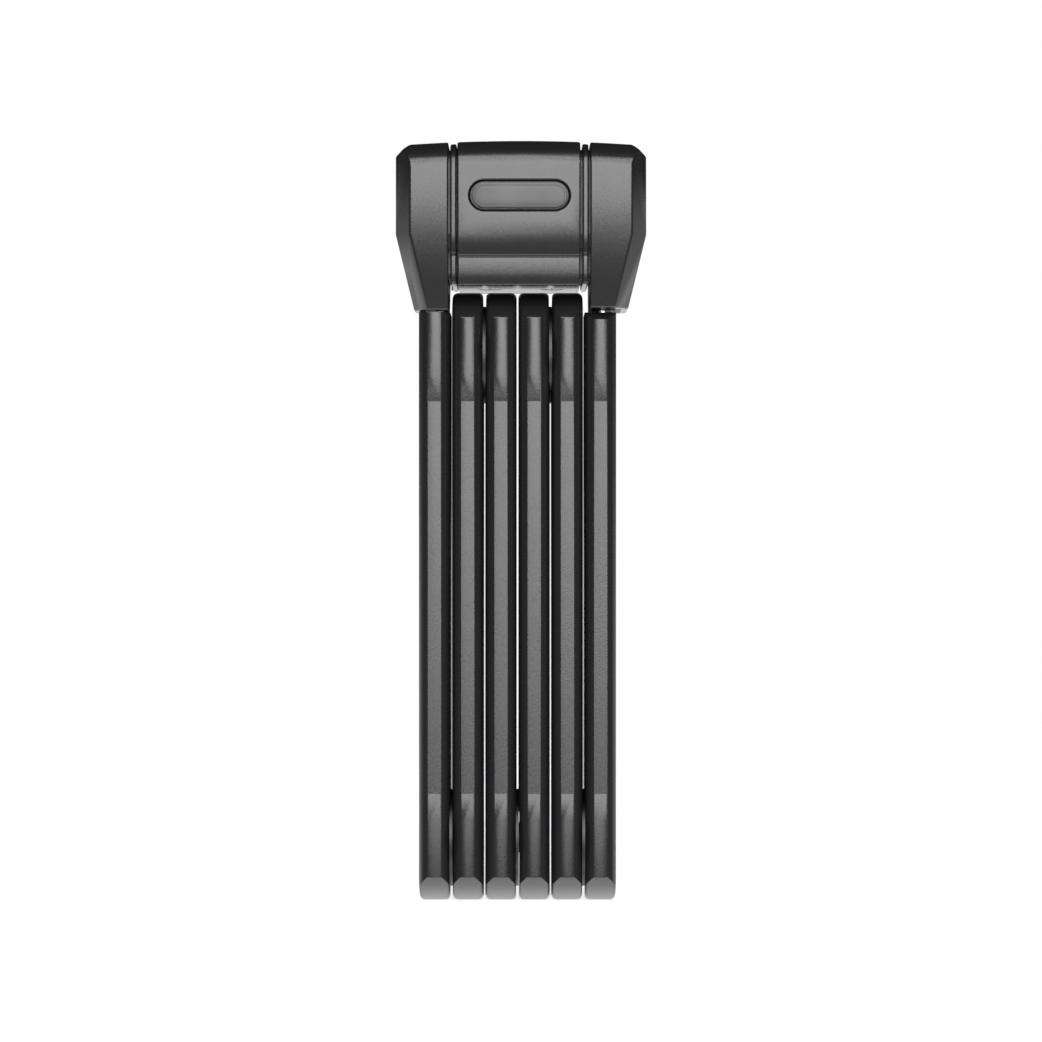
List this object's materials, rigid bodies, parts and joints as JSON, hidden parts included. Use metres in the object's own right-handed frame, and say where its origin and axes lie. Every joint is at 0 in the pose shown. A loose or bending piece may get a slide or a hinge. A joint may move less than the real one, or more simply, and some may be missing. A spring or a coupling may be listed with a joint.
{
  "type": "folding bike lock",
  "caption": "Folding bicycle lock: riveted steel links in plastic covers, folded flat under a lock head with a key cylinder and a locking pin.",
  "frame": {"origin": "centre of the footprint, at the lower ends of the folded links", "axes": "+Z along the folded links towards the lock head, -Y is the front with the oval badge, +X across the stack from the keyhole end to the locking pin"},
  "size_m": [0.0642, 0.04, 0.1961],
  "materials": {
    "hardened_steel": "hardened, fine ground",
    "link_plastic": "fine grained satin, charcoal",
    "head_plastic": "fine grained satin, charcoal",
    "collar_plastic": "fine grained, a little darker",
    "badge_plastic": "satin",
    "spacer_plastic": "smooth",
    "shutter_plastic": "satin",
    "rivet_steel": "blackened, turned",
    "pin_chrome": "polished, hard chromed",
    "case_metal": "cast zinc alloy, blackened",
    "screw_steel": "black zinc",
    "spring_steel": "bright wire",
    "brass": "turned"
  },
  "bodies": {
    "link_6": {"link_6_core": "hardened_steel", "link_6_cover": "link_plastic", "locking_pin": "pin_chrome", "rivet_5_6": "rivet_steel"},
    "link_5": {"link_5_core": "hardened_steel", "link_5_cover": "link_plastic", "spacer_5_6": "spacer_plastic", "rivet_4_5": "rivet_steel"},
    "link_4": {"link_4_core": "hardened_steel", "link_4_cover": "link_plastic", "spacer_4_5": "spacer_plastic", "rivet_3_4": "rivet_steel"},
    "link_3": {"link_3_core": "hardened_steel", "link_3_cover": "link_plastic", "spacer_3_4": "spacer_plastic", "rivet_2_3": "rivet_steel"},
    "link_2": {"link_2_core": "hardened_steel", "link_2_cover": "link_plastic", "spacer_2_3": "spacer_plastic", "rivet_1_2": "rivet_steel"},
    "link_1": {"link_1_core": "hardened_steel", "link_1_cover": "link_plastic", "spacer_1_2": "spacer_plastic"},
    "head": {"lock_case": "case_metal", "centre_cover": "head_plastic", "left_collar": "collar_plastic", "right_collar": "collar_plastic", "left_end_cover": "head_plastic", "right_end_cover": "head_plastic", "badge": "badge_plastic", "head_rivet": "rivet_steel", "socket_bush": "hardened_steel", "housing_pin": "hardened_steel", "sleeve_screws": "screw_steel", "end_screws": "screw_steel", "cylinder_housing": "brass", "bolt_spring": "spring_steel"},
    "plug": {"cylinder_plug": "brass", "key_discs": "brass", "disc_spacers": "brass", "sidebar": "hardened_steel", "plug_clip": "spring_steel", "plug_cam": "hardened_steel"},
    "bolt": {"locking_bolt": "hardened_steel"},
    "shutter": {"keyhole_shutter": "shutter_plastic"}
  },
  "joints": [
    {"name": "rivet_5_6_fold", "type": "hinge", "parent": "link_6", "child": "link_5", "pos_m": [0.0162, 0, 0.01615], "axis": [1, 0, 0], "range_deg": [-53.61, 0]},
    {"name": "rivet_4_5_fold", "type": "hinge", "parent": "link_5", "child": "link_4", "pos_m": [0.00765, 0, 0.14185], "axis": [1, 0, 0], "range_deg": [-127.39, 0]},
    {"name": "rivet_3_4_fold", "type": "hinge", "parent": "link_4", "child": "link_3", "pos_m": [-0.0009, 0, 0.01615], "axis": [1, 0, 0], "range_deg": [0, 180.5]},
    {"name": "rivet_2_3_fold", "type": "hinge", "parent": "link_3", "child": "link_2", "pos_m": [-0.00945, 0, 0.14185], "axis": [1, 0, 0], "range_deg": [0, 180]},
    {"name": "rivet_1_2_fold", "type": "hinge", "parent": "link_2", "child": "link_1", "pos_m": [-0.018, 0, 0.01615], "axis": [1, 0, 0], "range_deg": [-135.5, 0]},
    {"name": "head_tilt", "type": "hinge", "parent": "link_1", "child": "head", "pos_m": [-0.02227, 0, 0.16335], "axis": [1, 0, 0], "range_deg": [-45.3, 0]},
    {"name": "plug_turn", "type": "hinge", "parent": "head", "child": "plug", "pos_m": [-0.018, 0, 0.18165], "axis": [1, 0, 0], "range_deg": [0, 90]},
    {"name": "bolt_slide", "type": "slide", "parent": "head", "child": "bolt", "axis": [0, 1, 0], "range_m": [0, 0.00325], "deforming": ["bolt_spring"]},
    {"name": "shutter_slide", "type": "slide", "parent": "head", "child": "shutter", "axis": [0, 1, 0], "range_m": [0, 0.0094]}
  ],
  "couplings": [
    {"joint": "rivet_3_4_fold", "follows": "rivet_2_3_fold", "ratio": 1},
    {"joint": "rivet_4_5_fold", "follows": "rivet_2_3_fold", "ratio": -0.70495},
    {"joint": "rivet_5_6_fold", "follows": "rivet_2_3_fold", "ratio": -0.29505},
    {"joint": "rivet_1_2_fold", "follows": "rivet_2_3_fold", "ratio": -0.75},
    {"joint": "head_tilt", "follows": "rivet_2_3_fold", "ratio": -0.25},
    {"joint": "plug_turn", "follows": "bolt_slide", "rad_per_m": 483.32}
  ]
}
